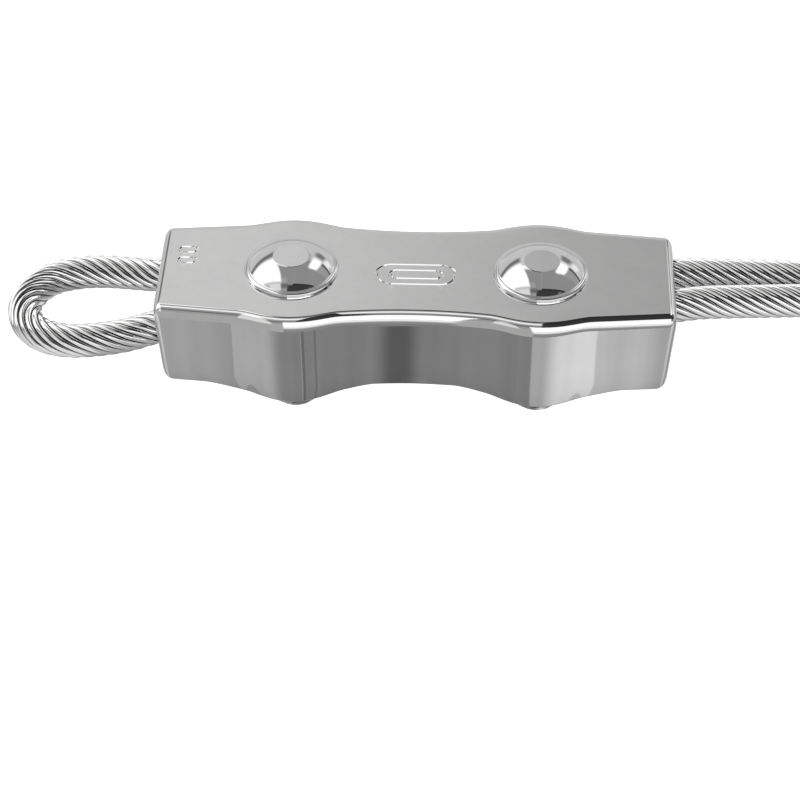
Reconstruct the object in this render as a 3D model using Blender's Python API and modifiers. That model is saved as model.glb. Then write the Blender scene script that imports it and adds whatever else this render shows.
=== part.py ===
"""Two-bolt pressed wire rope clip, closed on a rope that is doubled back into an eye.

Metres, +Z up. The origin is the middle of the cover's flat top face, halfway between the bolts.
+X runs along the clip from the eye to the two rope ends, +Y across it. The bolt heads are on
top and the nuts underneath, and every piece is a separate closed solid.
"""
import math

import bmesh
import bpy
from mathutils import Matrix, Vector

MM = 0.001
GAP = 0.3 * MM                      # left between pieces that touch on the real clip

# Bolts: M6 cup head with a square neck
BOLT_X = 14.45 * MM                 # each side of the middle
SHANK_RADIUS = 3.0 * MM
THREAD_PITCH = 1.0 * MM
HEAD_RADIUS = 5.45 * MM
HEAD_RIM_HEIGHT = 0.68 * MM
DOME_RADIUS = 4.8 * MM              # where the dome meets the rim
DOME_FLAT_RADIUS = 2.08 * MM
HEAD_HEIGHT = 1.9 * MM
NECK_SIDE = 6.4 * MM
TIP_Z = -19.2 * MM
TIP_CHAMFER = 0.8 * MM

# Cover: the outer pressed shell
SHEET = 1.2 * MM
COVER_HALF_LENGTH = 30.0 * MM
END_HALF_WIDTH = 7.97 * MM
END_TAPER = 0.0947                  # half-width gained per length, going in from an end
WAIST_HALF_WIDTH = 8.29 * MM
WAIST_RADIUS = 66.7 * MM
LOBE_RADIUS = 10.07 * MM            # the walls bulge in an arc round each bolt
LOBE_BLEND = 0.7 * MM
WAIST_DEPTH = 10.22 * MM            # top face to the lower edge of a wall
DEPTH_GAIN = 0.008                  # extra depth per length towards the ends
LOBE_DEPTH = 1.52 * MM              # extra depth beside the bolts
LOBE_DEPTH_X = 14.8 * MM
LOBE_DEPTH_REACH = 10.0 * MM
LOBE_DEPTH_SHARPNESS = 1.35         # 1 is a plain cosine hump, higher is more pointed
END_CORNER = 1.3 * MM               # rounding of the walls' lower end corners
END_ROLL = 0.95 * MM                # rounding of the outside edge at both open ends
WALL_DRAFT = 2.5                    # per metre: the ends lean in as they go down
FOLD_RADIUS = 1.3 * MM
INNER_FOLD_RADIUS = 0.4 * MM

# Clamp plate: the inner pressed shell
CLAMP_HALF_LENGTH = 23.5 * MM
CLAMP_SIDE_CLEARANCE = 0.4 * MM
CLAMP_BOTTOM = -9.4 * MM
CLAMP_HOLE_RADIUS = SHANK_RADIUS + GAP
CLAMP_FOLD_RADIUS = 1.2 * MM

# Nuts and lock washers
WASHER_RADIUS = 5.9 * MM
WASHER_THICKNESS = 1.6 * MM
WASHER_SLOT = math.radians(14.0)
NUT_ACROSS_FLATS = 10.0 * MM
NUT_HEIGHT = 5.0 * MM
NUT_CHAMFER = 0.45 * MM

# Rope
ROPE_RADIUS = 2.0 * MM
ROPE_Z = -SHEET - GAP - ROPE_RADIUS

# Stack below the rope
CLAMP_TOP = ROPE_Z - ROPE_RADIUS - GAP
WASHER_TOP = CLAMP_TOP - SHEET - GAP
NUT_TOP = WASHER_TOP - WASHER_THICKNESS - GAP

# The rope's route: cut end, front leg, eye, back leg, cut end. Millimetres, and how far each
# point hangs below the rope's level inside the clip.
ROPE_ROUTE = [
    (54.0, 0.35, 0.0), (49.0, 0.38, 0.0), (44.5, 0.33, 0.0), (40.5, 0.1, 0.0), (37.0, -0.1, 0.0),
    (34.0, -0.32, 0.0), (32.0, -0.65, 0.0), (30.0, -1.15, 0.0), (26.5, -2.2, 0.0),
    (22.5, -3.6, 0.0), (18.5, -4.85, 0.0), (14.45, -5.4, 0.0), (10.0, -5.1, 0.0), (5.0, -4.6, 0.0),
    (0.0, -4.4, 0.0), (-5.0, -4.6, 0.0), (-10.0, -5.1, 0.0), (-14.45, -5.4, 0.0),
    (-19.0, -5.05, 0.0), (-23.0, -4.7, 0.0), (-25.5, -4.5, 0.25), (-27.5, -4.42, 0.9),
    (-29.2, -4.42, 1.6), (-31.0, -4.75, 2.1), (-33.4, -5.55, 2.4), (-36.2, -6.25, 2.5),
    (-38.9, -6.65, 2.5), (-41.3, -6.5, 2.5), (-43.6, -5.55, 2.45), (-45.3, -3.55, 2.4),
    (-45.95, -0.65, 2.3), (-45.1, 2.1, 2.15), (-43.1, 4.2, 2.0), (-40.2, 5.15, 1.85),
    (-36.9, 5.33, 1.75), (-33.5, 4.95, 1.65), (-31.0, 4.5, 1.45), (-28.8, 4.33, 1.05),
    (-26.6, 4.35, 0.45), (-24.6, 4.48, 0.08), (-22.5, 4.7, 0.0), (-19.0, 5.05, 0.0),
    (-14.45, 5.4, 0.0), (-10.0, 5.1, 0.0), (-5.0, 4.6, 0.0), (0.0, 4.4, 0.0), (5.0, 4.6, 0.0),
    (10.0, 5.1, 0.0), (14.45, 5.4, 0.0), (19.0, 5.05, 0.0), (23.0, 4.75, 0.0), (26.5, 4.5, 0.0),
    (29.5, 4.5, 0.0), (31.5, 4.72, 0.0), (34.0, 4.82, 0.0), (38.0, 4.78, 0.0), (44.5, 4.72, 0.0),
    (58.0, 4.75, 0.0), (72.0, 4.75, 0.0),
]
ROPE_STEPS = 79                     # spans along the tube

SCREW_STEPS = 30
FOLD_STEPS = 3

STEEL = {
    "cover_steel": ((0.78, 0.78, 0.79), 0.08),
    "bolt_steel": ((0.80, 0.80, 0.81), 0.07),
    "plate_steel": ((0.62, 0.62, 0.63), 0.28),
    "nut_steel": ((0.66, 0.66, 0.67), 0.22),
    "rope_steel": ((0.60, 0.60, 0.61), 0.25),
}


def clear_scene():
    for item in list(bpy.data.objects):
        bpy.data.objects.remove(item, do_unlink=True)


def new_collection(name):
    collection = bpy.data.collections.new(name)
    bpy.context.scene.collection.children.link(collection)
    return collection


def make_material(name):
    colour, roughness = STEEL[name]
    material = bpy.data.materials.new(name)
    material.use_nodes = True
    shader = material.node_tree.nodes["Principled BSDF"]
    shader.inputs["Base Color"].default_value = (*colour, 1.0)
    shader.inputs["Metallic"].default_value = 1.0
    shader.inputs["Roughness"].default_value = roughness
    return material


def add_mesh(name, bm, collection, material=None, location=(0.0, 0.0, 0.0)):
    """Close a bmesh into a smooth-shaded object in the given collection."""
    bmesh.ops.recalc_face_normals(bm, faces=bm.faces)
    mesh = bpy.data.meshes.new(name)
    bm.to_mesh(mesh)
    bm.free()
    mesh.shade_smooth()
    mesh.set_sharp_from_angle(angle=math.radians(30.0))
    item = bpy.data.objects.new(name, mesh)
    item.location = location
    collection.objects.link(item)
    if material:
        mesh.materials.append(material)
    return item


def hide_cutter(cutter):
    cutter.hide_render = True
    cutter.display_type = "WIRE"
    return cutter


def add_boolean(item, cutter, operation):
    modifier = item.modifiers.new(operation.lower(), "BOOLEAN")
    modifier.operation = operation
    modifier.object = cutter


def box_cutter(name, collection, low, high):
    size = Vector(high) - Vector(low)
    centre = (Vector(high) + Vector(low)) / 2
    bm = bmesh.new()
    bmesh.ops.create_cube(bm, size=1.0, matrix=Matrix.Diagonal((*size, 1.0)))
    return hide_cutter(add_mesh(name, bm, collection, location=centre))


def prism_cutter(name, collection, radius, height, sides, centre):
    bm = bmesh.new()
    bmesh.ops.create_cone(bm, cap_ends=True, segments=sides, radius1=radius, radius2=radius,
                          depth=height)
    return hide_cutter(add_mesh(name, bm, collection, location=centre))


def turned(name, profile, collection, material, location):
    """Turn an (x, z) profile, listed down its outer side, about the object's own Z axis."""
    mesh = bpy.data.meshes.new(name)
    points = [(x, 0.0, z) for x, z in profile]
    closed = profile[0][0] > 0.0
    last = len(points) if closed else len(points) - 1
    edges = [(i, (i + 1) % len(points)) for i in range(last)]
    mesh.from_pydata(points, edges, [])
    mesh.materials.append(material)
    item = bpy.data.objects.new(name, mesh)
    item.location = location
    collection.objects.link(item)
    screw = item.modifiers.new("turn", "SCREW")
    screw.steps = SCREW_STEPS
    screw.render_steps = SCREW_STEPS
    screw.use_merge_vertices = True
    screw.merge_threshold = 0.00001
    screw.use_smooth_shade = True
    return item


def loft(name, rings, collection, material, cap_pairs):
    """Join equal closed rings of points into one solid; cap_pairs folds each end shut."""
    bm = bmesh.new()
    rows = [[bm.verts.new(point) for point in ring] for ring in rings]
    count = len(rings[0])
    for row, following in zip(rows, rows[1:]):
        for i in range(count):
            j = (i + 1) % count
            bm.faces.new((row[i], row[j], following[j], following[i]))
    for row in (rows[0], rows[-1]):
        for i, j in cap_pairs:
            bm.faces.new((row[i], row[i + 1], row[j - 1], row[j]))
    return add_mesh(name, bm, collection, material)


def smooth_max(a, b, blend):
    overlap = max(blend - abs(a - b), 0.0) / blend
    return max(a, b) + overlap * overlap * blend / 4.0


def cover_half_width(x):
    """Outside half-width: a hollow waist and tapered ends, with a lobe round each bolt."""
    x = abs(x)
    waist = WAIST_HALF_WIDTH + x * x / (2.0 * WAIST_RADIUS)
    taper = END_HALF_WIDTH + (COVER_HALF_LENGTH - x) * END_TAPER
    reach = LOBE_RADIUS ** 2 - (x - BOLT_X) ** 2
    lobe = math.sqrt(max(reach, 0.0))
    return smooth_max(lobe, min(waist, taper), LOBE_BLEND)


def quarter_round(distance, radius):
    """How far a rounded edge has dropped, at a distance past the start of its rounding."""
    reach = min(max(distance / radius, 0.0), 1.0)
    return radius * (1.0 - math.sqrt(1.0 - reach * reach))


def wall_depth(x):
    """Depth of the cover's walls below the top face: deepest beside the bolts."""
    x = abs(x)
    depth = WAIST_DEPTH + DEPTH_GAIN * x
    across = (x - LOBE_DEPTH_X) / LOBE_DEPTH_REACH
    if abs(across) < 1.0:
        depth += LOBE_DEPTH * math.cos(across * math.pi / 2.0) ** LOBE_DEPTH_SHARPNESS
    return depth - quarter_round(x - COVER_HALF_LENGTH + END_CORNER, END_CORNER)


def folded_path(half_width, top, bottom, radius):
    """Half-section of one skin of an upside-down U, from the front wall's foot to the back's."""
    front = [(-half_width, bottom)]
    for i in range(FOLD_STEPS + 1):
        angle = math.pi - i * math.pi / 2.0 / FOLD_STEPS
        front.append((-half_width + radius + radius * math.cos(angle),
                      top - radius + radius * math.sin(angle)))
    return front + [(-y, z) for y, z in reversed(front)]


def channel_ring(x, outer, inner):
    """Closed ring of points at one place along a channel, leaning in with depth."""
    section = outer + inner[::-1]
    return [(x * (1.0 + WALL_DRAFT * z), y, z) for y, z in section]


def channel_caps():
    """Pairs of ring positions, outer against inner, that close the end of a channel."""
    skin = 2 * (FOLD_STEPS + 2)
    return [(i, 2 * skin - 1 - i) for i in range(skin - 1)]


def cover_ring(x):
    half_width = cover_half_width(x)
    depth = wall_depth(x)
    roll = quarter_round(abs(x) - COVER_HALF_LENGTH + END_ROLL, END_ROLL)
    outer = folded_path(half_width - roll, -roll, -depth, FOLD_RADIUS)
    inner = folded_path(half_width - SHEET, -SHEET, -depth, INNER_FOLD_RADIUS)
    return channel_ring(x, outer, inner)


def clamp_ring(x):
    half_width = cover_half_width(x) - SHEET - CLAMP_SIDE_CLEARANCE
    outer = folded_path(half_width, CLAMP_TOP, CLAMP_BOTTOM, CLAMP_FOLD_RADIUS)
    inner = folded_path(half_width - SHEET, CLAMP_TOP - SHEET, CLAMP_BOTTOM, INNER_FOLD_RADIUS)
    return channel_ring(x, outer, inner)


def stations(half_length, spans, end_roll=0.0, end_spans=0):
    """Places along a channel: even in the middle, closing up over a rolled end."""
    straight = half_length - end_roll
    places = [straight * (2.0 * i / spans - 1.0) for i in range(spans + 1)]
    rolled = [straight + end_roll * math.sin(math.pi / 2.0 * i / end_spans)
              for i in range(1, end_spans + 1)]
    return [-x for x in reversed(rolled)] + places + rolled


def make_cover(collection, cutters, material):
    rings = [cover_ring(x) for x in stations(COVER_HALF_LENGTH, 44, END_ROLL, 3)]
    cover = loft("cover_shell", rings, collection, material, channel_caps())
    half_hole = NECK_SIDE / 2.0 + GAP
    for side, x in BOLT_PLACES:
        hole = box_cutter("cover_hole_" + side, cutters,
                          (x - half_hole, -half_hole, -2.0 * SHEET),
                          (x + half_hole, half_hole, SHEET))
        add_boolean(cover, hole, "DIFFERENCE")


def make_clamp_plate(collection, cutters, material):
    rings = [clamp_ring(x) for x in stations(CLAMP_HALF_LENGTH, 34)]
    plate = loft("clamp_plate", rings, collection, material, channel_caps())
    for side, x in BOLT_PLACES:
        hole = prism_cutter("clamp_hole_" + side, cutters, CLAMP_HOLE_RADIUS, 3.0 * SHEET,
                            SCREW_STEPS, (x, 0.0, CLAMP_TOP - SHEET / 2.0))
        add_boolean(plate, hole, "DIFFERENCE")


def bolt_profile():
    """Axis to axis, from the flat on the dome down to the chamfered tip."""
    rise = HEAD_HEIGHT - HEAD_RIM_HEIGHT
    spread = DOME_RADIUS ** 2 - DOME_FLAT_RADIUS ** 2
    centre_z = HEAD_HEIGHT - (spread + rise ** 2) / (2.0 * rise)
    ball = math.hypot(DOME_FLAT_RADIUS, HEAD_HEIGHT - centre_z)
    profile = [(0.0, HEAD_HEIGHT), (DOME_FLAT_RADIUS, HEAD_HEIGHT)]
    for i in range(1, 4):
        x = DOME_FLAT_RADIUS + (DOME_RADIUS - DOME_FLAT_RADIUS) * i / 3.0
        profile.append((x, centre_z + math.sqrt(ball ** 2 - x ** 2)))
    profile += [
        (HEAD_RADIUS, HEAD_RIM_HEIGHT - 0.2 * MM),
        (HEAD_RADIUS, GAP),
        (SHANK_RADIUS, GAP),
        (SHANK_RADIUS, TIP_Z + TIP_CHAMFER),
        (SHANK_RADIUS - TIP_CHAMFER, TIP_Z),
        (0.0, TIP_Z),
    ]
    return profile


def make_bolts(collection, cutters, material):
    half = NECK_SIDE / 2.0
    for side, x in BOLT_PLACES:
        bolt = turned("bolt_" + side, bolt_profile(), collection, material, (x, 0.0, 0.0))
        neck = box_cutter("neck_" + side, cutters, (x - half, -half, -SHEET - GAP),
                          (x + half, half, 2.0 * GAP))
        add_boolean(bolt, neck, "UNION")


def make_lock_washers(collection, material):
    """Split rings of square wire, each swept most of the way round its bolt."""
    inner = SHANK_RADIUS + GAP
    low = -WASHER_THICKNESS
    section = [(inner, 0.0), (WASHER_RADIUS, 0.0), (WASHER_RADIUS, low), (inner, low)]
    sweep = 2.0 * math.pi - WASHER_SLOT
    rings = []
    for step in range(SCREW_STEPS + 1):
        angle = WASHER_SLOT / 2.0 + sweep * step / SCREW_STEPS
        rings.append([(r * math.cos(angle), r * math.sin(angle), z) for r, z in section])
    for side, x in BOLT_PLACES:
        washer = loft("lock_washer_" + side, rings, collection, material, [(0, 3)])
        washer.location = (x, 0.0, WASHER_TOP)


def make_nuts(collection, cutters, material):
    """A turned ring with chamfered corners, cut to a hexagon."""
    corner = NUT_ACROSS_FLATS / math.sqrt(3.0) + 0.01 * MM
    chamfer_radius = corner - 0.8 * MM
    bore = SHANK_RADIUS + GAP
    profile = [
        (bore, 0.0), (chamfer_radius, 0.0), (corner, -NUT_CHAMFER),
        (corner, NUT_CHAMFER - NUT_HEIGHT), (chamfer_radius, -NUT_HEIGHT), (bore, -NUT_HEIGHT),
    ]
    for side, x in BOLT_PLACES:
        nut = turned("nut_" + side, profile, collection, material, (x, 0.0, NUT_TOP))
        hexagon = prism_cutter("hexagon_" + side, cutters, NUT_ACROSS_FLATS / math.sqrt(3.0),
                               2.0 * NUT_HEIGHT, 6, (x, 0.0, NUT_TOP - NUT_HEIGHT / 2.0))
        hexagon.rotation_euler = (0.0, 0.0, math.radians(30.0))
        add_boolean(nut, hexagon, "INTERSECT")


def smooth_route(points, spans):
    """Evenly spaced points on a Catmull-Rom curve through the route's own points."""
    padded = [2 * points[0] - points[1]] + points + [2 * points[-1] - points[-2]]
    fine = []
    for a, b, c, d in zip(padded, padded[1:], padded[2:], padded[3:]):
        for i in range(12):
            t = i / 12.0
            fine.append(0.5 * (2 * b + (c - a) * t + (2 * a - 5 * b + 4 * c - d) * t ** 2
                               + (3 * b - a - 3 * c + d) * t ** 3))
    fine.append(points[-1])
    lengths = [0.0]
    for a, b in zip(fine, fine[1:]):
        lengths.append(lengths[-1] + (b - a).length)
    even = []
    place = 0
    for i in range(spans + 1):
        target = lengths[-1] * i / spans
        while place < len(fine) - 2 and lengths[place + 1] < target:
            place += 1
        share = (target - lengths[place]) / (lengths[place + 1] - lengths[place])
        even.append(fine[place].lerp(fine[place + 1], share))
    return even


def make_rope(collection, material):
    route = [Vector((x * MM, y * MM, ROPE_Z - drop * MM)) for x, y, drop in ROPE_ROUTE]
    points = smooth_route(route, ROPE_STEPS)
    curve = bpy.data.curves.new("wire_rope", "CURVE")
    curve.dimensions = "3D"
    curve.bevel_depth = ROPE_RADIUS
    curve.bevel_resolution = 3
    curve.use_fill_caps = True
    spline = curve.splines.new("POLY")
    spline.points.add(len(points) - 1)
    for knot, point in zip(spline.points, points):
        knot.co = (*point, 1.0)
    curve.materials.append(material)
    rope = bpy.data.objects.new("wire_rope", curve)
    collection.objects.link(rope)


BOLT_PLACES = (("left", -BOLT_X), ("right", BOLT_X))


def main():
    clear_scene()
    clip = new_collection("wire_rope_clip")
    cutters = new_collection("cutters")
    steel = {name: make_material(name) for name in STEEL}
    make_cover(clip, cutters, steel["cover_steel"])
    make_clamp_plate(clip, cutters, steel["plate_steel"])
    make_bolts(clip, cutters, steel["bolt_steel"])
    make_lock_washers(clip, steel["nut_steel"])
    make_nuts(clip, cutters, steel["nut_steel"])
    make_rope(clip, steel["rope_steel"])


main()
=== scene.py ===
"""Looks of the two-bolt pressed wire rope clip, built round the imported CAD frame.

Metres, in the frame's own axes: +X along the clip from the rope's eye to its two ends, +Y across
it, +Z out of the top face. Mirror-polished pressed shells, turned bolts with a real thread,
chamfered nuts, split washers, and a rope of nineteen twisted wires.
"""
import math

import bmesh
import bpy
import numpy as np
from mathutils import Euler, Matrix, Vector


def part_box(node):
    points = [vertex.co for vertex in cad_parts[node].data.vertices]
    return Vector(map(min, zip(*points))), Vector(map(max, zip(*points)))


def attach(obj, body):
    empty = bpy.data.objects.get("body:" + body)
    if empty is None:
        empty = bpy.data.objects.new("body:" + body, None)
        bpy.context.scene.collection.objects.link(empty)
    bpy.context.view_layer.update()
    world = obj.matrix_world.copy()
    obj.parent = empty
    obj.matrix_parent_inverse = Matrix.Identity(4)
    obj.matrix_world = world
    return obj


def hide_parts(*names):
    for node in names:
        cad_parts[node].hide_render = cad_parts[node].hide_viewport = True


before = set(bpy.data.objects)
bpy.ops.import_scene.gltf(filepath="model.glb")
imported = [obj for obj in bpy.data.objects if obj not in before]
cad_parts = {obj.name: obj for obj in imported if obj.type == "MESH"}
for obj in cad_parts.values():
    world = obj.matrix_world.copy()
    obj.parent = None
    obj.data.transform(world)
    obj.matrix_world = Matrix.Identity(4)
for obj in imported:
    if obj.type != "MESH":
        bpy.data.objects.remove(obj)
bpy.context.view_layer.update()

MM = 0.001
SHARP_ANGLE = 35.0                  # degrees between faces from which an edge stays sharp

# Sizes read from the frame
BOLT_LOW, BOLT_HIGH = (Vector(corner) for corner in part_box("bolt_right"))
PLATE_LOW, PLATE_HIGH = (Vector(corner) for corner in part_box("clamp_plate"))
WASHER_LOW, WASHER_HIGH = (Vector(corner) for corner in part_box("lock_washer_right"))
NUT_LOW, NUT_HIGH = (Vector(corner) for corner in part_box("nut_right"))
BOLT_X = (BOLT_LOW.x + BOLT_HIGH.x) / 2
BOLT_PLACES = (("left", -BOLT_X), ("right", BOLT_X))

# Cover and clamp plate: the same outline as the CAD
SHEET = 1.2 * MM
HALF_LENGTH = 30.0 * MM
END_HALF_WIDTH = 7.97 * MM
END_TAPER = 0.0947
WAIST_HALF_WIDTH = 8.29 * MM
WAIST_RADIUS = 66.7 * MM
LOBE_RADIUS = 10.07 * MM
LOBE_BLEND = 0.7 * MM
WAIST_DEPTH = 10.22 * MM
DEPTH_GAIN = 0.008
LOBE_DEPTH = 1.52 * MM
LOBE_DEPTH_X = 14.8 * MM
LOBE_DEPTH_REACH = 10.0 * MM
LOBE_DEPTH_SHARPNESS = 1.35
END_CORNER = 1.3 * MM
END_ROLL = 0.95 * MM
WALL_DRAFT = 2.5
FOLD_RADIUS = 1.3 * MM
INNER_FOLD_RADIUS = 0.4 * MM
FOOT_ROUND = 0.28 * MM
COVER_STEP = 0.28 * MM              # between the cover's cross sections
HOLE_PLAY = 0.3 * MM                # round the bolts' necks and shanks
# Plain sunk outlines where a size is usually stamped: each one's middle, length and width
GROOVE_DEPTH = 0.11 * MM
GROOVE_WIDTH = 0.22 * MM
GROOVE_END_STEPS = 16
GROOVES = (
    ((0.0, -0.7 * MM), 9.2 * MM, 3.6 * MM),
    ((0.0, -0.7 * MM), 6.0 * MM, 1.5 * MM),
    ((-26.7 * MM, 3.2 * MM), 2.0 * MM, 1.0 * MM),
    ((-26.7 * MM, 1.2 * MM), 2.0 * MM, 1.0 * MM),
)
CLAMP_HALF_LENGTH = 23.5 * MM
CLAMP_CLEARANCE = 0.4 * MM
CLAMP_FOLD_RADIUS = 1.2 * MM
CLAMP_STEP = 0.4 * MM

# Bolts, nuts and washers
HEAD_RADIUS = 5.47 * MM
HEAD_HEIGHT = BOLT_HIGH.z
RIM_ROUND = 0.40 * MM
HEAD_FLAT_RADIUS = 2.04 * MM
# How steeply the head falls, as a radius in mm and degrees: the flat, the dome, its foot, the rim
HEAD_SLOPES = [(2.04, 10.0), (3.7, 26.0), (4.86, 41.0), (4.98, 6.0), (5.07, 0.0)]
HEAD_SLOPE_STEPS = 12
# The rim's lower edge, in mm: how far in from the rim and how high above the cover
HEAD_UNDERSIDE = [(0.0, 0.14), (0.09, 0.02), (0.2, 0.0)]
HEAD_SIDES = 96
NECK_SIDE = 6.4 * MM
NECK_REACH = 0.3 * MM               # into the head above and past the sheet below
THREAD_RADIUS = 3.0 * MM
THREAD_PITCH = 1.0 * MM
THREAD_DEPTH = 0.58 * MM
THREAD_START = -3.2 * SHEET
THREAD_FADE = 1.5 * THREAD_PITCH
THREAD_SIDES = 60
THREAD_RINGS = 12                   # in one pitch
TIP_Z = BOLT_LOW.z
TIP_CHAMFER = 0.85 * MM
TIP_CHAMFER_SLOPE = 1.2
NUT_CHAMFER_SLOPE = math.tan(math.radians(30.0))
NUT_FACE_SHARE = 0.985              # the flat ring's radius over the half-width across flats
NUT_BORE = THREAD_RADIUS - 0.05 * MM
NUT_MOUTH = THREAD_RADIUS + 0.35 * MM
NUT_MOUTH_DEPTH = 0.5 * MM
NUT_SIDES = 72
WASHER_BORE = THREAD_RADIUS + 0.12 * MM
WASHER_GROWTH = 0.3 * MM            # fills the gaps that the CAD leaves above and below
WASHER_ROUND = 0.18 * MM
WASHER_SLOT = math.radians(14.0)
WASHER_SLANT = 0.9                  # how much the slot's ends lean
WASHER_STEPS = 90

# Rope: one strand of nineteen wires, five wires across
ROPE_DIAMETER = 4.0 * MM
WIRE_RADIUS = ROPE_DIAMETER / 10
WIRE_FILL = 0.95                    # leaves a thin gap between wires of a layer
LAY_LENGTH = 17.2 * MM
ROPE_Z = -3.5 * MM
ROPE_STEPS = 560
ROUTE_STEPS = 24                    # between two points of the route
# The rope's middle line from its dead end round the eye: x, y and drop below ROPE_Z, in mm
ROPE_ROUTE = [
    (54.0, 0.35, 0.0), (49.0, 0.38, 0.0), (44.5, 0.33, 0.0), (40.5, 0.1, 0.0), (37.0, -0.1, 0.0),
    (34.0, -0.32, 0.0), (32.0, -0.65, 0.0), (30.0, -1.15, 0.0), (26.5, -2.2, 0.0),
    (22.5, -3.6, 0.0), (18.5, -4.85, 0.0), (14.45, -5.4, 0.0), (10.0, -5.1, 0.0), (5.0, -4.6, 0.0),
    (0.0, -4.4, 0.0), (-5.0, -4.6, 0.0), (-10.0, -5.1, 0.0), (-14.45, -5.4, 0.0),
    (-19.0, -5.05, 0.0), (-23.0, -4.7, 0.0), (-25.5, -4.5, 0.25), (-27.5, -4.42, 0.9),
    (-29.2, -4.42, 1.6), (-31.0, -4.75, 2.1), (-33.4, -5.55, 2.4), (-36.2, -6.25, 2.5),
    (-38.9, -6.65, 2.5), (-41.3, -6.5, 2.5), (-43.6, -5.55, 2.45), (-45.3, -3.55, 2.4),
    (-45.95, -0.65, 2.3), (-45.1, 2.1, 2.15), (-43.1, 4.2, 2.0), (-40.2, 5.15, 1.85),
    (-36.9, 5.33, 1.75), (-33.5, 4.95, 1.65), (-31.0, 4.5, 1.45), (-28.8, 4.33, 1.05),
    (-26.6, 4.35, 0.45), (-24.6, 4.48, 0.08), (-22.5, 4.7, 0.0), (-19.0, 5.05, 0.0),
    (-14.45, 5.4, 0.0), (-10.0, 5.1, 0.0), (-5.0, 4.6, 0.0), (0.0, 4.4, 0.0), (5.0, 4.6, 0.0),
    (10.0, 5.1, 0.0), (14.45, 5.4, 0.0), (19.0, 5.05, 0.0), (23.0, 4.75, 0.0), (26.5, 4.5, 0.0),
    (29.5, 4.5, 0.0), (31.5, 4.72, 0.0), (34.0, 4.82, 0.0), (38.0, 4.78, 0.0), (44.5, 4.72, 0.0),
    (58.0, 4.75, 0.0), (72.0, 4.75, 0.0),
]
# Wires in a layer, its orbit in wire radii, sides of a wire, hand and lay length
ROPE_LAYERS = (
    (12, 4.0, 10, 1.0, LAY_LENGTH),
    (6, 2.0, 8, -1.0, LAY_LENGTH * 0.6),
    (1, 0.0, 8, 1.0, LAY_LENGTH),
)

# Camera
CAMERA_PLACE = (7.015 * MM, -234.76 * MM, 186.70 * MM)
CAMERA_DOWN = math.radians(41.334)
CAMERA_TURN = math.radians(2.183)
CAMERA_ROLL = math.radians(-0.215)
CAMERA_LENS = 116.37
FLOOR_Z = TIP_Z - 45.0 * MM


# ---------------------------------------------------------------- camera

def make_camera():
    data = bpy.data.cameras.new("camera")
    data.lens = CAMERA_LENS
    data.sensor_width = 36.0
    data.clip_start = 0.01
    data.clip_end = 20.0
    camera = bpy.data.objects.new("camera", data)
    aim = Euler((math.pi / 2 - CAMERA_DOWN, 0.0, CAMERA_TURN), "XYZ").to_matrix()
    turn = aim @ Matrix.Rotation(CAMERA_ROLL, 3, "Z")
    camera.matrix_world = Matrix.Translation(CAMERA_PLACE) @ turn.to_4x4()
    bpy.context.scene.collection.objects.link(camera)
    bpy.context.scene.camera = camera


# ---------------------------------------------------------------- mesh helpers

def add_object(name, mesh, body, nodes, material):
    """Put a finished mesh in the scene as a piece that stands for CAD nodes on a body."""
    item = bpy.data.objects.new(name, mesh)
    bpy.context.scene.collection.objects.link(item)
    mesh.materials.clear()
    mesh.materials.append(material)
    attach(item, body)
    if nodes:
        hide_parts(*nodes)
    return item


def finish_mesh(name, bm, sharp=SHARP_ANGLE):
    """Turn a build mesh into a smooth-shaded one that keeps edges above an angle sharp."""
    bmesh.ops.recalc_face_normals(bm, faces=bm.faces)
    mesh = bpy.data.meshes.new(name)
    bm.to_mesh(mesh)
    bm.free()
    mesh.shade_smooth()
    mesh.set_sharp_from_angle(angle=math.radians(sharp))
    return mesh


def add_grid(bm, rows, close_across=True, caps="none"):
    """Skin equal rows of points; caps is none, flat (one face) or fold (a channel's end)."""
    lines = [[bm.verts.new(point) for point in row] for row in rows]
    count = len(rows[0])
    for line, following in zip(lines, lines[1:]):
        for i in range(count if close_across else count - 1):
            j = (i + 1) % count
            bm.faces.new((line[i], line[j], following[j], following[i]))
    for line in (lines[0], lines[-1]):
        if caps == "flat":
            bm.faces.new(line)
        elif caps == "fold":
            for i in range(count // 2 - 1):
                j = count - 1 - i
                bm.faces.new((line[i], line[i + 1], line[j - 1], line[j]))
    return lines


def bridge(bm, line, following):
    """Join two closed rings of the same number of points."""
    for i in range(len(line)):
        j = (i + 1) % len(line)
        bm.faces.new((line[i], line[j], following[j], following[i]))


def turned_rows(profile, steps, place):
    """Rows of an (r, z) profile, one row for each profile point, round the Z axis at place."""
    angles = [2 * math.pi * i / steps for i in range(steps)]
    return [[(place[0] + r * math.cos(a), place[1] + r * math.sin(a), z) for a in angles]
            for r, z in profile]


def arc(centre, radius, start, end, steps):
    """Points on an arc in a two-axis section, angles in degrees."""
    points = []
    for i in range(steps + 1):
        angle = math.radians(start + (end - start) * i / steps)
        points.append((centre[0] + radius * math.cos(angle), centre[1] + radius * math.sin(angle)))
    return points


def temporary(name, bm):
    """A helper object, removed again once it has been used."""
    mesh = bpy.data.meshes.new(name)
    bmesh.ops.recalc_face_normals(bm, faces=bm.faces)
    bm.to_mesh(mesh)
    bm.free()
    item = bpy.data.objects.new(name, mesh)
    bpy.context.scene.collection.objects.link(item)
    return item


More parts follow.
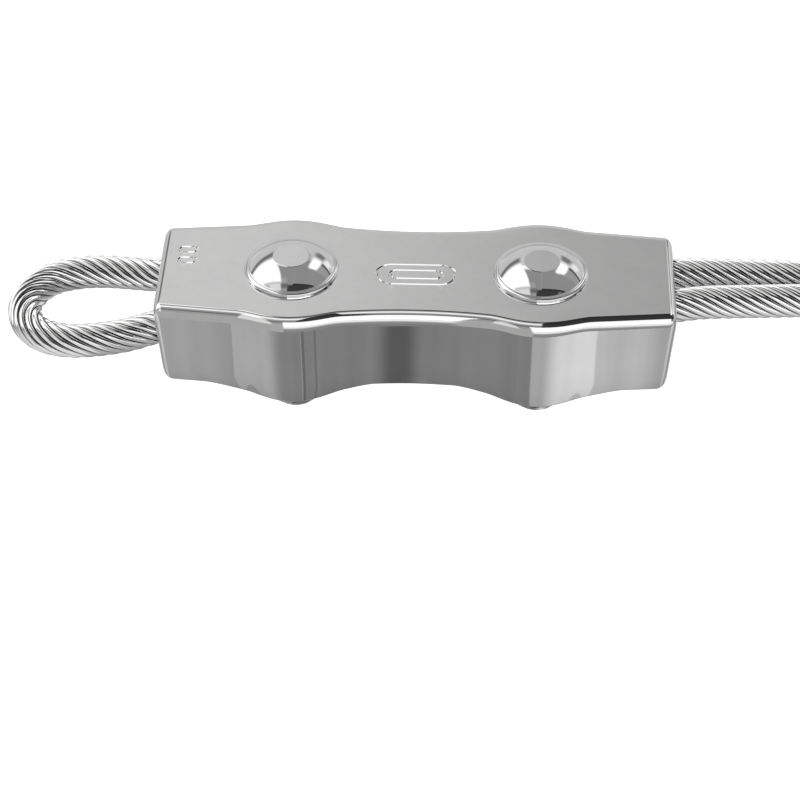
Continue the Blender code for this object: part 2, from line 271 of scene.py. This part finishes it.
def cut(mesh, cutter_bm):
    """Take a cutter away from a mesh and give back the resulting mesh."""
    body = bpy.data.objects.new("cut_body", mesh)
    bpy.context.scene.collection.objects.link(body)
    cutter = temporary("cut_tool", cutter_bm)
    modifier = body.modifiers.new("cut", "BOOLEAN")
    modifier.operation = "DIFFERENCE"
    modifier.object = cutter
    graph = bpy.context.evaluated_depsgraph_get()
    result = bpy.data.meshes.new_from_object(body.evaluated_get(graph))
    result.set_sharp_from_angle(angle=math.radians(SHARP_ANGLE))
    for item in (body, cutter):
        bpy.data.objects.remove(item, do_unlink=True)
    return result


def add_box(bm, low, high):
    size = Vector(high) - Vector(low)
    place = Matrix.Translation((Vector(high) + Vector(low)) / 2)
    bmesh.ops.create_cube(bm, size=1.0, matrix=place @ Matrix.Diagonal((*size, 1.0)))


# ---------------------------------------------------------------- pressed shells

def smooth_max(a, b, blend):
    overlap = max(blend - abs(a - b), 0.0) / blend
    return max(a, b) + overlap * overlap * blend / 4.0


def cover_half_width(x):
    x = abs(x)
    waist = WAIST_HALF_WIDTH + x * x / (2.0 * WAIST_RADIUS)
    taper = END_HALF_WIDTH + (HALF_LENGTH - x) * END_TAPER
    lobe = math.sqrt(max(LOBE_RADIUS ** 2 - (x - BOLT_X) ** 2, 0.0))
    side = -smooth_max(-waist, -taper, LOBE_BLEND)
    return smooth_max(lobe, side, LOBE_BLEND)


def quarter_round(distance, radius):
    """How far a rounded edge has fallen back at a distance past where it starts."""
    reach = min(max(distance / radius, 0.0), 1.0)
    return radius * (1.0 - math.sqrt(1.0 - reach * reach))


def wall_depth(x):
    x = abs(x)
    depth = WAIST_DEPTH + DEPTH_GAIN * x
    across = (x - LOBE_DEPTH_X) / LOBE_DEPTH_REACH
    if abs(across) < 1.0:
        depth += LOBE_DEPTH * math.cos(across * math.pi / 2.0) ** LOBE_DEPTH_SHARPNESS
    return depth - quarter_round(x - HALF_LENGTH + END_CORNER, END_CORNER)


def skin_path(half_width, top, bottom, fold, foot, side, wall_steps, fold_steps):
    """One skin of an upside-down U from foot to foot; side is 1 outside and -1 inside."""
    if side > 0:
        front = arc((-half_width + foot, bottom + foot), foot, 270.0, 180.0, 3)
    else:
        front = arc((-half_width - foot, bottom + foot), foot, 270.0, 360.0, 3)
    start = front[-1][1]
    end = top - fold
    front += [(-half_width, start + (end - start) * i / wall_steps) for i in range(1, wall_steps)]
    front += arc((-half_width + fold, end), fold, 180.0, 90.0, fold_steps)
    inner = front[-1][0]
    front += [(inner * (1.0 - i / 4.0), top) for i in range(1, 4)]
    return front + [(0.0, top)] + [(-y, z) for y, z in reversed(front)]


def shell_row(x, outer, inner):
    """Both skins of a cross section; lower points lie nearer the middle, so the ends lean in."""
    return [(x * (1.0 + WALL_DRAFT * z), y, z) for y, z in outer + inner[::-1]]


def cover_row(x):
    half_width = cover_half_width(x)
    depth = wall_depth(x)
    roll = quarter_round(abs(x) - HALF_LENGTH + END_ROLL, END_ROLL)
    outer = skin_path(half_width - roll, -roll, -depth, FOLD_RADIUS, FOOT_ROUND, 1, 6, 12)
    inner = skin_path(half_width - SHEET, -SHEET, -depth, INNER_FOLD_RADIUS, FOOT_ROUND / 2, -1,
                      6, 12)
    return shell_row(x, outer, inner)


def clamp_row(x):
    half_width = cover_half_width(x) - SHEET - CLAMP_CLEARANCE
    roll = quarter_round(abs(x) - CLAMP_HALF_LENGTH + FOOT_ROUND, FOOT_ROUND)
    top = PLATE_HIGH.z
    bottom = PLATE_LOW.z
    outer = skin_path(half_width - roll, top - roll, bottom, CLAMP_FOLD_RADIUS, FOOT_ROUND, 1, 5, 10)
    inner = skin_path(half_width - SHEET, top - SHEET, bottom, INNER_FOLD_RADIUS, FOOT_ROUND / 2,
                      -1, 5, 10)
    return shell_row(x, outer, inner)


def stations(half_length, step, roll, roll_steps):
    """Places along x for a shell's cross sections, closer together where its ends roll over."""
    straight = half_length - roll
    spans = 2 * round(straight / step)
    places = [straight * (2.0 * i / spans - 1.0) for i in range(spans + 1)]
    rolled = [straight + roll * math.sin(math.pi / 2.0 * i / roll_steps)
              for i in range(1, roll_steps + 1)]
    return [-x for x in reversed(rolled)] + places + rolled


def add_groove(bm, middle, length, width):
    """A sunk line round a round-ended outline in the top face; its sides slope at 45 degrees."""
    radius = width / 2
    rows = []
    for end, start in ((1, -90.0), (-1, 90.0)):
        centre = Vector((middle[0] + end * (length / 2 - radius), middle[1], 0.0))
        for i in range(GROOVE_END_STEPS + 1):
            angle = math.radians(start + 180.0 * i / GROOVE_END_STEPS)
            out = Vector((math.cos(angle), math.sin(angle), 0.0))
            point = centre + out * radius
            rows.append([point + out * side * (GROOVE_WIDTH / 2 + wider) + Vector((0.0, 0.0, z))
                         for side, wider, z in ((-1, 2 * GROOVE_DEPTH, GROOVE_DEPTH),
                                                (-1, 0.0, -GROOVE_DEPTH),
                                                (1, 0.0, -GROOVE_DEPTH),
                                                (1, 2 * GROOVE_DEPTH, GROOVE_DEPTH))])
    lines = add_grid(bm, rows)
    bridge(bm, lines[-1], lines[0])


def make_cover(material):
    bm = bmesh.new()
    rows = [cover_row(x) for x in stations(HALF_LENGTH, COVER_STEP, END_ROLL, 8)]
    add_grid(bm, rows, caps="fold")
    mesh = finish_mesh("cover", bm)
    tools = bmesh.new()
    half_hole = NECK_SIDE / 2 + HOLE_PLAY
    for _, x in BOLT_PLACES:
        add_box(tools, (x - half_hole, -half_hole, -2 * SHEET), (x + half_hole, half_hole, SHEET))
    for middle, length, width in GROOVES:
        add_groove(tools, middle, length, width)
    mesh = cut(mesh, tools)
    return add_object("cover", mesh, "cover", ["cover_shell"], material)


def make_clamp(material):
    bm = bmesh.new()
    rows = [clamp_row(x) for x in stations(CLAMP_HALF_LENGTH, CLAMP_STEP, FOOT_ROUND, 4)]
    add_grid(bm, rows, caps="fold")
    mesh = finish_mesh("inner_clamp", bm)
    tools = bmesh.new()
    hole = THREAD_RADIUS + HOLE_PLAY
    for _, x in BOLT_PLACES:
        bmesh.ops.create_cone(tools, cap_ends=True, segments=72, radius1=hole, radius2=hole,
                              depth=4 * SHEET, matrix=Matrix.Translation((x, 0.0, PLATE_HIGH.z)))
    mesh = cut(mesh, tools)
    return add_object("inner_clamp", mesh, "clamp", ["clamp_plate"], material)


# ---------------------------------------------------------------- bolts, washers, nuts

def head_profile():
    """From the flat over the dome, its foot and the rounded rim, down to the neck."""
    profile = [(HEAD_FLAT_RADIUS - 0.12 * MM, HEAD_HEIGHT)]
    profile.append((HEAD_FLAT_RADIUS - 0.04 * MM, HEAD_HEIGHT))
    z = HEAD_HEIGHT
    for (r0, slope0), (r1, slope1) in zip(HEAD_SLOPES, HEAD_SLOPES[1:]):
        for i in range(HEAD_SLOPE_STEPS):
            middle = math.radians(slope0 + (slope1 - slope0) * (i + 0.5) / HEAD_SLOPE_STEPS)
            profile.append(((r0 + (r1 - r0) * i / HEAD_SLOPE_STEPS) * MM, z))
            z -= math.tan(middle) * (r1 - r0) * MM / HEAD_SLOPE_STEPS
    profile += arc((HEAD_RADIUS - RIM_ROUND, z - RIM_ROUND), RIM_ROUND, 90.0, 0.0, 14)
    profile += [(HEAD_RADIUS - inward * MM, height * MM) for inward, height in HEAD_UNDERSIDE]
    profile.append((THREAD_RADIUS, 0.0))
    return profile


def thread_radius(turn, z):
    """Radius of a right-hand M6 thread at an angle and height, fading out at both ends."""
    phase = (z / THREAD_PITCH - turn) % 1.0
    ridge = min(max(abs(2.0 * phase - 1.0) * 1.3 - 0.08, 0.0), 1.0)
    fade = min(max((THREAD_START - z) / THREAD_FADE, 0.0), 1.0)
    radius = THREAD_RADIUS - THREAD_DEPTH * fade * (1.0 - ridge)
    tip = THREAD_RADIUS - TIP_CHAMFER + (z - TIP_Z) * TIP_CHAMFER_SLOPE
    return min(radius, tip)


def thread_rows(x):
    rings = round(-TIP_Z / (THREAD_PITCH / THREAD_RINGS))
    rows = []
    for k in range(rings + 1):
        z = TIP_Z * k / rings
        row = []
        for i in range(THREAD_SIDES):
            turn = i / THREAD_SIDES
            r = thread_radius(turn, z)
            row.append((x + r * math.cos(2 * math.pi * turn), r * math.sin(2 * math.pi * turn), z))
        rows.append(row)
    return rows


def make_bolt(side, x, material):
    """A smooth domed head, a square neck and a threaded shank."""
    bm = bmesh.new()
    add_grid(bm, turned_rows(head_profile(), HEAD_SIDES, (x, 0.0)), caps="flat")
    add_grid(bm, thread_rows(x), caps="flat")
    half = NECK_SIDE / 2
    add_box(bm, (x - half, -half, -SHEET - NECK_REACH), (x + half, half, NECK_REACH))
    mesh = finish_mesh("bolt_" + side, bm, 30.0)
    return add_object("bolt_" + side + "_turned", mesh, "cover", ["bolt_" + side],
                      material)


def make_washer(side, x, material):
    """A split ring of square wire with softened corners, its cut ends slightly sprung apart."""
    inner = WASHER_BORE
    outer = WASHER_HIGH.x - BOLT_X
    top = WASHER_HIGH.z + WASHER_GROWTH
    bottom = WASHER_LOW.z - WASHER_GROWTH
    soft = WASHER_ROUND
    section = (arc((outer - soft, top - soft), soft, 90.0, 0.0, 3)
               + arc((outer - soft, bottom + soft), soft, 0.0, -90.0, 3)
               + arc((inner + soft, bottom + soft), soft, -90.0, -180.0, 3)
               + arc((inner + soft, top - soft), soft, 180.0, 90.0, 3))
    bm = bmesh.new()
    rows = []
    for k in range(WASHER_STEPS + 1):
        share = k / WASHER_STEPS
        base = WASHER_SLOT / 2 + (2 * math.pi - WASHER_SLOT) * share
        row = []
        for r, z in section:
            slant = (z - (top + bottom) / 2) / outer * WASHER_SLANT
            angle = base + slant
            row.append((x + r * math.cos(angle), r * math.sin(angle), z))
        rows.append(row)
    add_grid(bm, rows, caps="flat")
    mesh = finish_mesh("lock_washer_" + side, bm, 40.0)
    return add_object("spring_washer_" + side, mesh, "clamp", ["lock_washer_" + side],
                      material)


def hex_radius(angle):
    """Distance from a nut's axis to its flats at an angle."""
    folded = angle % (math.pi / 3) - math.pi / 6
    return NUT_HIGH.y / math.cos(folded)


def nut_row(x, angles, radius, z, cut_back=0.0):
    """A ring round a nut; a radius of None follows the flats, cut_back slopes it to the corners."""
    row = []
    for angle in angles:
        r = hex_radius(angle) if radius is None else radius
        drop = max(hex_radius(angle) - NUT_FACE_SHARE * NUT_HIGH.y, 0.0) * NUT_CHAMFER_SLOPE
        row.append((x + r * math.cos(angle), r * math.sin(angle), z + cut_back * drop))
    return row


def make_nut(side, x, material):
    """A hexagon nut whose corners are cut back by a cone at both faces."""
    low, high = NUT_LOW.z, NUT_HIGH.z
    face = NUT_FACE_SHARE * NUT_HIGH.y
    angles = [math.radians(360.0 * i / NUT_SIDES) for i in range(NUT_SIDES)]
    rows = [
        nut_row(x, angles, NUT_BORE, low + NUT_MOUTH_DEPTH),
        nut_row(x, angles, NUT_MOUTH, low),
        nut_row(x, angles, face, low),
        nut_row(x, angles, None, low, 1.0),
        nut_row(x, angles, None, high, -1.0),
        nut_row(x, angles, face, high),
        nut_row(x, angles, NUT_MOUTH, high),
        nut_row(x, angles, NUT_BORE, high - NUT_MOUTH_DEPTH),
    ]
    bm = bmesh.new()
    lines = add_grid(bm, rows)
    bridge(bm, lines[-1], lines[0])
    mesh = finish_mesh("nut_" + side, bm, 28.0)
    return add_object("hex_nut_" + side, mesh, "nut_" + side, ["nut_" + side],
                      material)


# ---------------------------------------------------------------- rope

def smooth_route(points, steps):
    """A Catmull-Rom curve through the route's own points, resampled evenly."""
    padded = np.vstack([2 * points[0] - points[1], points, 2 * points[-1] - points[-2]])
    t = np.linspace(0.0, 1.0, ROUTE_STEPS, endpoint=False)[:, None]
    fine = []
    for a, b, c, d in zip(padded, padded[1:], padded[2:], padded[3:]):
        fine.append(0.5 * (2 * b + (c - a) * t + (2 * a - 5 * b + 4 * c - d) * t ** 2
                           + (3 * b - a - 3 * c + d) * t ** 3))
    fine = np.vstack(fine + [points[-1:]])
    lengths = np.concatenate([[0.0], np.cumsum(np.linalg.norm(np.diff(fine, axis=0), axis=1))])
    even = np.linspace(0.0, lengths[-1], steps + 1)
    line = np.stack([np.interp(even, lengths, fine[:, k]) for k in range(3)], axis=1)
    return line, lengths[-1]


def carried_frames(line):
    """A pair of directions across the line at each point, carried along it without twisting."""
    tangents = np.gradient(line, axis=0)
    tangents /= np.linalg.norm(tangents, axis=1)[:, None]
    across = [np.cross(tangents[0], (0.0, 0.0, 1.0))]
    for tangent in tangents[1:]:
        previous = across[-1] - tangent * np.dot(across[-1], tangent)
        across.append(previous / np.linalg.norm(previous))
    across = np.array(across)
    return tangents, across, np.cross(tangents, across)


def wire_rows(line, frames, travel, orbit, start_angle, hand, sides, radius, lay):
    """Rows of points round one wire that winds about the rope's line."""
    _, across, upward = frames
    angle = start_angle + hand * 2.0 * math.pi * travel / lay
    outward = np.cos(angle)[:, None] * across + np.sin(angle)[:, None] * upward
    centre = line + orbit * outward
    run = np.gradient(centre, axis=0)
    run /= np.linalg.norm(run, axis=1)[:, None]
    outward -= run * np.sum(outward * run, axis=1)[:, None]
    outward /= np.linalg.norm(outward, axis=1)[:, None]
    beside = np.cross(run, outward)
    rows = []
    for k in range(len(line)):
        row = []
        for i in range(sides):
            turn = 2.0 * math.pi * i / sides
            row.append(centre[k] + radius * (math.cos(turn) * outward[k]
                                             + math.sin(turn) * beside[k]))
        rows.append(row)
    return rows


def make_rope(material):
    route = np.array([(x, y, -drop) for x, y, drop in ROPE_ROUTE]) * MM
    route[:, 2] += ROPE_Z
    line, length = smooth_route(route, ROPE_STEPS)
    frames = carried_frames(line)
    travel = np.linspace(0.0, length, ROPE_STEPS + 1)
    bm = bmesh.new()
    for count, orbit, sides, hand, lay in ROPE_LAYERS:
        for wire in range(count):
            start = 2.0 * math.pi * wire / count
            rows = wire_rows(line, frames, travel, orbit * WIRE_RADIUS, start, hand, sides,
                             WIRE_RADIUS * WIRE_FILL, lay)
            add_grid(bm, rows, caps="flat")
    mesh = finish_mesh("rope", bm, 50.0)
    rope = add_object("rope", mesh, "cover", ["wire_rope"], material)
    return rope


# ---------------------------------------------------------------- materials

CLOUD_SCALE = (260.0, 260.0, 260.0)
WAVE_SCALE = (90.0, 90.0, 90.0)
# How far the painted shade in narrow gaps between wires reaches
GAP_SHADE_REACH = 0.8 * MM
# Each steel: colour, roughness, its spread, grain, scratch height, dent height and painted gap shade
STEELS = {
    "drawn_wire": ((0.90, 0.90, 0.905), 0.08, 0.05, (500.0, 500.0, 500.0), 6e-7, 0.0, 0.97),
    "polished_cover": ((0.82, 0.82, 0.825), 0.03, 0.03, (900.0, 900.0, 60.0), 2e-7, 1.2e-6, 0.0),
    "satin_plate": ((0.66, 0.66, 0.67), 0.22, 0.10, (60.0, 900.0, 900.0), 2e-6, 4e-6, 0.0),
    "polished_bolt": ((0.83, 0.83, 0.84), 0.025, 0.02, (700.0, 700.0, 700.0), 2e-7, 6e-7, 0.0),
    "turned_nut": ((0.70, 0.70, 0.71), 0.18, 0.10, (300.0, 300.0, 1500.0), 2e-6, 2e-6, 0.0),
}


class Graph:
    """Short calls for adding nodes to a tree."""

    def __init__(self, tree):
        self.tree = tree

    def link(self, value, socket):
        if isinstance(value, bpy.types.NodeSocket):
            self.tree.links.new(value, socket)
        else:
            socket.default_value = value

    def node(self, kind, **settings):
        item = self.tree.nodes.new("ShaderNode" + kind)
        for name, value in settings.items():
            setattr(item, name, value)
        return item

    def math(self, operation, *values):
        item = self.node("Math", operation=operation)
        for value, socket in zip(values, item.inputs):
            self.link(value, socket)
        return item.outputs["Value"]

    def ease(self, value, start, end, low=0.0, high=1.0):
        """A smooth step from low at start to high at end."""
        item = self.node("MapRange", interpolation_type="SMOOTHSTEP")
        for amount, socket in zip((value, start, end, low, high), item.inputs):
            self.link(amount, socket)
        return item.outputs["Result"]

    def noise(self, place, scale, detail):
        mapping = self.node("Mapping")
        mapping.inputs["Scale"].default_value = scale
        self.link(place, mapping.inputs["Vector"])
        texture = self.node("TexNoise")
        texture.inputs["Scale"].default_value = 1.0
        texture.inputs["Detail"].default_value = detail
        self.link(mapping.outputs["Vector"], texture.inputs["Vector"])
        return texture.outputs["Fac"]

    def window(self, value, low, high, soft):
        """One between low and high and nothing outside, with soft edges."""
        rise = self.ease(value, low - soft, low + soft)
        fall = self.ease(value, high - soft, high + soft, 1.0, 0.0)
        return self.math("MULTIPLY", rise, fall)

    def mix(self, share, first, second):
        """First where share is nothing, second where it is one."""
        difference = self.math("SUBTRACT", second, first)
        return self.math("MULTIPLY_ADD", difference, share, first)


def steel(name, colour, roughness, spread, grain, scratch, dent, gap_shade):
    """Bare steel: clouded gloss, fine lines along its grain, and brighter rubbed edges.

    Grain is the noise scale along each axis per metre, scratch the height of its lines and dent
    the height of the broad waves left by pressing, both in metres. Gap shade paints shade into
    narrow gaps.
    """
    material = bpy.data.materials.new(name)
    material.use_nodes = True
    graph = Graph(material.node_tree)
    shader = material.node_tree.nodes["Principled BSDF"]
    shader.inputs["Metallic"].default_value = 1.0
    place = graph.node("TexCoord").outputs["Object"]
    cloud = graph.noise(place, CLOUD_SCALE, 4.0)
    line = graph.noise(place, grain, 3.0)
    wave = graph.noise(place, WAVE_SCALE, 1.0)
    rubbed = graph.ease(graph.node("NewGeometry").outputs["Pointiness"], 0.51, 0.60)
    gloss = graph.ease(cloud, 0.32, 0.68, roughness, roughness + spread)
    graph.link(graph.mix(rubbed, gloss, roughness * 0.7), shader.inputs["Roughness"])
    shade = graph.ease(cloud, 0.25, 0.75, 0.965, 1.0)
    shade = graph.math("MULTIPLY", shade, graph.ease(line, 0.2, 0.7, 0.975, 1.0))
    shade = graph.mix(rubbed, shade, 1.06)
    # Painted shade: ambient occlusion darkens the colour in narrow gaps between wires
    if gap_shade:
        gap = graph.node("AmbientOcclusion", samples=8)
        gap.inputs["Distance"].default_value = GAP_SHADE_REACH
        open_share = graph.ease(gap.outputs["AO"], 0.32, 0.84, 1.0 - gap_shade, 1.0)
        shade = graph.math("MULTIPLY", shade, open_share)
    tone = graph.node("CombineColor")
    for socket, part in zip(tone.inputs, colour):
        graph.link(graph.math("MULTIPLY", shade, part), socket)
    graph.link(tone.outputs["Color"], shader.inputs["Base Color"])
    height = graph.math("ADD", graph.math("MULTIPLY", line, scratch),
                        graph.math("MULTIPLY", wave, dent))
    bump = graph.node("Bump")
    bump.inputs["Distance"].default_value = 1.0
    graph.link(height, bump.inputs["Height"])
    graph.link(bump.outputs["Normal"], shader.inputs["Normal"])
    return material


# ---------------------------------------------------------------- studio

# The studio round the clip, by direction: how far a direction leans to the right (its x), and how
# far it has turned, in degrees, from straight down, up the front, over the top and down the back.
# Each card: x from, x to, x softness, turn from, turn to, turn softness, brightness; a later card
# covers the earlier ones.
STUDIO_CARDS = [
    (-2.0, 2.0, 0.10, -20.0, 92.0, 8.0, 0.30),
    (-2.0, 2.0, 0.10, 100.0, 135.0, 4.0, 1.05),
    (-2.0, 2.0, 0.10, 278.0, 380.0, 6.0, 0.34),
    (0.38, 0.58, 0.06, 272.0, 350.0, 6.0, 0.80),
    (-0.58, -0.38, 0.06, 272.0, 350.0, 6.0, 0.80),
    (-0.30, 2.0, 0.04, 134.0, 166.0, 2.5, 0.25),
    (-0.30, 0.52, 0.04, 134.0, 166.0, 2.5, 0.05),
    (-2.0, -0.30, 0.04, 134.0, 168.0, 4.0, 0.85),
    (-2.0, -0.62, 0.04, 140.0, 166.0, 4.0, 0.25),
    (-0.27, 0.03, 0.01, 164.0, 214.0, 2.0, 0.31),
    (-2.0, -0.13, 0.02, -20.0, 132.0, 4.0, 0.46),
    (-0.28, -0.13, 0.02, 132.0, 184.0, 4.0, 0.40),
    (-0.30, -0.10, 0.02, 217.0, 224.0, 1.5, 1.20),
    (-0.10, 0.03, 0.01, 214.0, 226.0, 2.0, 0.04),
    (0.03, 0.95, 0.001, 162.0, 208.0, 2.5, 0.04),
    (0.48, 2.0, 0.03, 206.0, 232.0, 2.0, 0.10),
    (0.03, 0.30, 0.001, 200.0, 226.0, 2.5, 0.03),
    (-2.0, -0.28, 0.03, 174.0, 229.0, 4.0, 1.30),
    (-0.30, -0.10, 0.06, 156.0, 168.0, 5.0, 0.16),
    (0.27, 0.48, 0.05, 211.0, 233.0, 5.0, 1.30),
    (-2.0, -0.27, 0.05, 233.0, 243.0, 4.0, 0.18),
    (0.27, 0.46, 0.05, 238.0, 252.0, 4.0, 0.22),
    (0.50, 0.66, 0.04, 234.0, 250.0, 4.0, 1.00),
]
# Brightness where no card stands, and the studio's slightly warm tint
STUDIO_LEVEL = 0.64
STUDIO_TINT = (1.0, 0.995, 0.985)
# The ceiling that the top face mirrors: its turn and x, both from and to, and how it darkens to the
# right: x from, x to, brightness before and after
CEILING_TURN = (225.0, 238.0)
CEILING_X = (-0.25, 0.2)
CEILING_SHADE = (-0.11, 0.085, 0.70, 0.44)


def studio_brightness(graph, x, turn):
    """The cards in their order, and the ceiling last."""
    level = STUDIO_LEVEL
    for left, right, side_soft, low, high, soft, brightness in STUDIO_CARDS:
        across = graph.window(x, left, right, side_soft)
        along = graph.window(turn, low, high, soft)
        level = graph.mix(graph.math("MULTIPLY", across, along), level, brightness)
    ceiling = graph.ease(x, *CEILING_SHADE)
    share = graph.math("MULTIPLY", graph.window(turn, *CEILING_TURN, 3.0),
                       graph.window(x, *CEILING_X, 0.05))
    return graph.mix(share, level, ceiling)


def make_world():
    world = bpy.data.worlds.new("studio")
    world.use_nodes = True
    bpy.context.scene.world = world
    graph = Graph(world.node_tree)
    place = graph.node("TexCoord")
    split = graph.node("SeparateXYZ")
    graph.link(place.outputs["Generated"], split.inputs["Vector"])
    x, y, z = split.outputs
    angle = graph.math("ARCTAN2", z, graph.math("MULTIPLY", y, -1.0))
    turn = graph.math("FLOORED_MODULO", graph.math("ADD", graph.math("DEGREES", angle), 90.0),
                      360.0)
    level = studio_brightness(graph, x, turn)
    colour = graph.node("CombineColor")
    for socket, tint in zip(colour.inputs, STUDIO_TINT):
        graph.link(graph.math("MULTIPLY", level, tint), socket)
    graph.link(colour.outputs["Color"], world.node_tree.nodes["Background"].inputs["Color"])


def make_floor():
    """A pale floor well under the clip, left out of the steel's reflections."""
    bm = bmesh.new()
    bmesh.ops.create_grid(bm, x_segments=1, y_segments=1, size=2.0,
                          matrix=Matrix.Translation((0.0, 0.0, FLOOR_Z)))
    mesh = bpy.data.meshes.new("floor")
    bm.to_mesh(mesh)
    bm.free()
    material = bpy.data.materials.new("pale_floor")
    material.use_nodes = True
    shader = material.node_tree.nodes["Principled BSDF"]
    shader.inputs["Base Color"].default_value = (0.9, 0.9, 0.9, 1.0)
    shader.inputs["Roughness"].default_value = 1.0
    shader.inputs["Emission Color"].default_value = (1.0, 1.0, 1.0, 1.0)
    shader.inputs["Emission Strength"].default_value = 0.8
    mesh.materials.append(material)
    floor = bpy.data.objects.new("floor", mesh)
    floor.visible_glossy = False
    bpy.context.scene.collection.objects.link(floor)


# Two cards standing low in front of the clip, which its front wall mirrors. Each card: its y, top,
# bottom and half width, and how its brightness steps along x, in mm: from, to, before and after
CARD_STREAK_SCALE = (260.0, 0.0, 6.0)
CARD_FADE = (-22.0 * MM, -10.0 * MM)
WIDE_CARD = (-13.0 * MM, -3.1 * MM, -50.0 * MM, 120.0 * MM)
WIDE_STEPS = [
    (-36.0, -33.0, 0.75, 0.42), (-25.5, -22.4, 0.42, 0.37), (-22.25, -22.1, 0.37, 0.49),
    (-20.0, -15.2, 0.49, 0.255), (-12.4, -12.3, 0.255, 0.34), (-12.2, -12.1, 0.34, 0.17),
    (-11.7, -11.6, 0.17, 0.25), (-9.9, -9.7, 0.25, 0.18), (-9.5, -9.3, 0.18, 0.25),
    (12.9, 13.2, 0.25, 0.44), (14.8, 18.2, 0.46, 0.80), (21.75, 22.0, 0.80, 0.60),
    (26.5, 30.5, 0.62, 0.48), (33.0, 36.0, 0.48, 0.75),
]
SMALL_CARD = (-12.2 * MM, -4.3 * MM, -40.0 * MM, 4.6 * MM)
SMALL_STEPS = [(-4.5, -2.2, 0.245, 0.12), (-1.1, 1.1, 0.12, 0.245)]


def card_material(name, steps):
    """A glowing card whose brightness steps along x, with faint upright streaks."""
    material = bpy.data.materials.new(name)
    material.use_nodes = True
    tree = material.node_tree
    tree.nodes.remove(tree.nodes["Principled BSDF"])
    graph = Graph(tree)
    place = graph.node("TexCoord").outputs["Object"]
    split = graph.node("SeparateXYZ")
    graph.link(place, split.inputs["Vector"])
    level = steps[0][2]
    for start, end, before, after in steps:
        step = graph.ease(split.outputs["X"], start * MM, end * MM, 0.0, after - before)
        level = graph.math("ADD", level, step)
    streak = graph.ease(graph.noise(place, CARD_STREAK_SCALE, 3.0), 0.3, 0.7, 0.93, 1.06)
    fade = graph.ease(split.outputs["Z"], *CARD_FADE, 0.80, 1.0)
    level = graph.math("MULTIPLY", graph.math("MULTIPLY", level, streak), fade)
    emission = graph.node("Emission")
    graph.link(level, emission.inputs["Strength"])
    graph.link(emission.outputs["Emission"], tree.nodes["Material Output"].inputs["Surface"])
    return material


def make_card(name, place, steps):
    y, top, bottom, half_width = place
    bm = bmesh.new()
    corners = [(-half_width, y, bottom), (half_width, y, bottom),
               (half_width, y, top), (-half_width, y, top)]
    bm.faces.new([bm.verts.new(corner) for corner in corners])
    mesh = bpy.data.meshes.new(name)
    bm.to_mesh(mesh)
    bm.free()
    mesh.materials.append(card_material(name, steps))
    card = bpy.data.objects.new(name, mesh)
    card.visible_camera = False
    card.visible_diffuse = False
    card.visible_shadow = False
    bpy.context.scene.collection.objects.link(card)


# Soft lights that each reach one kind of piece: the direction they stand in, as degrees up from
# the front horizon, then left and right edges, height and brightness; sizes at a distance of 1
LIGHT_DISTANCE = 60.0
HEAD_LIGHT = (107.0, 0.03, 2.0, 1.11, 0.27)
FOLD_LIGHT = (52.0, -0.13, 0.80, 0.68, 1.20)
LINE_LIGHT = (103.0, -0.33, 0.03, 0.32, 0.75)
ROPE_LIGHTS = ((175.0, -1.5, 1.5, 0.9, 0.50), (0.0, -1.5, 1.5, 1.0, 0.50))


def make_soft_light(name, pieces, place):
    upward, left, right, height, brightness = place
    angle = math.radians(upward)
    data = bpy.data.lights.new(name, "AREA")
    data.shape = "RECTANGLE"
    data.size = (right - left) * LIGHT_DISTANCE
    data.size_y = height * LIGHT_DISTANCE
    data.energy = brightness * math.pi * data.size * data.size_y
    light = bpy.data.objects.new(name, data)
    light.location = ((left + right) / 2 * LIGHT_DISTANCE, -LIGHT_DISTANCE * math.cos(angle),
                      LIGHT_DISTANCE * math.sin(angle))
    light.rotation_euler = (math.pi / 2 - angle, 0.0, 0.0)
    light.visible_camera = False
    bpy.context.scene.collection.objects.link(light)
    lit = bpy.data.collections.new(name + "_pieces")
    for piece in pieces:
        lit.objects.link(piece)
    light.light_linking.receiver_collection = lit


def main():
    make_camera()
    steels = {name: steel(name, *look) for name, look in STEELS.items()}
    rope = make_rope(steels["drawn_wire"])
    cover = make_cover(steels["polished_cover"])
    make_clamp(steels["satin_plate"])
    bolts = []
    for side, x in BOLT_PLACES:
        bolts.append(make_bolt(side, x, steels["polished_bolt"]))
        make_washer(side, x, steels["turned_nut"])
        make_nut(side, x, steels["turned_nut"])
    make_floor()
    make_card("wide_card", WIDE_CARD, WIDE_STEPS)
    make_card("small_card", SMALL_CARD, SMALL_STEPS)
    make_soft_light("head_light", bolts, HEAD_LIGHT)
    make_soft_light("fold_light", [cover], FOLD_LIGHT)
    make_soft_light("line_light", [cover], LINE_LIGHT)
    for place in ROPE_LIGHTS:
        make_soft_light("rope_light", [rope], place)
    make_world()
    bpy.context.scene.view_settings.view_transform = "Standard"


main()
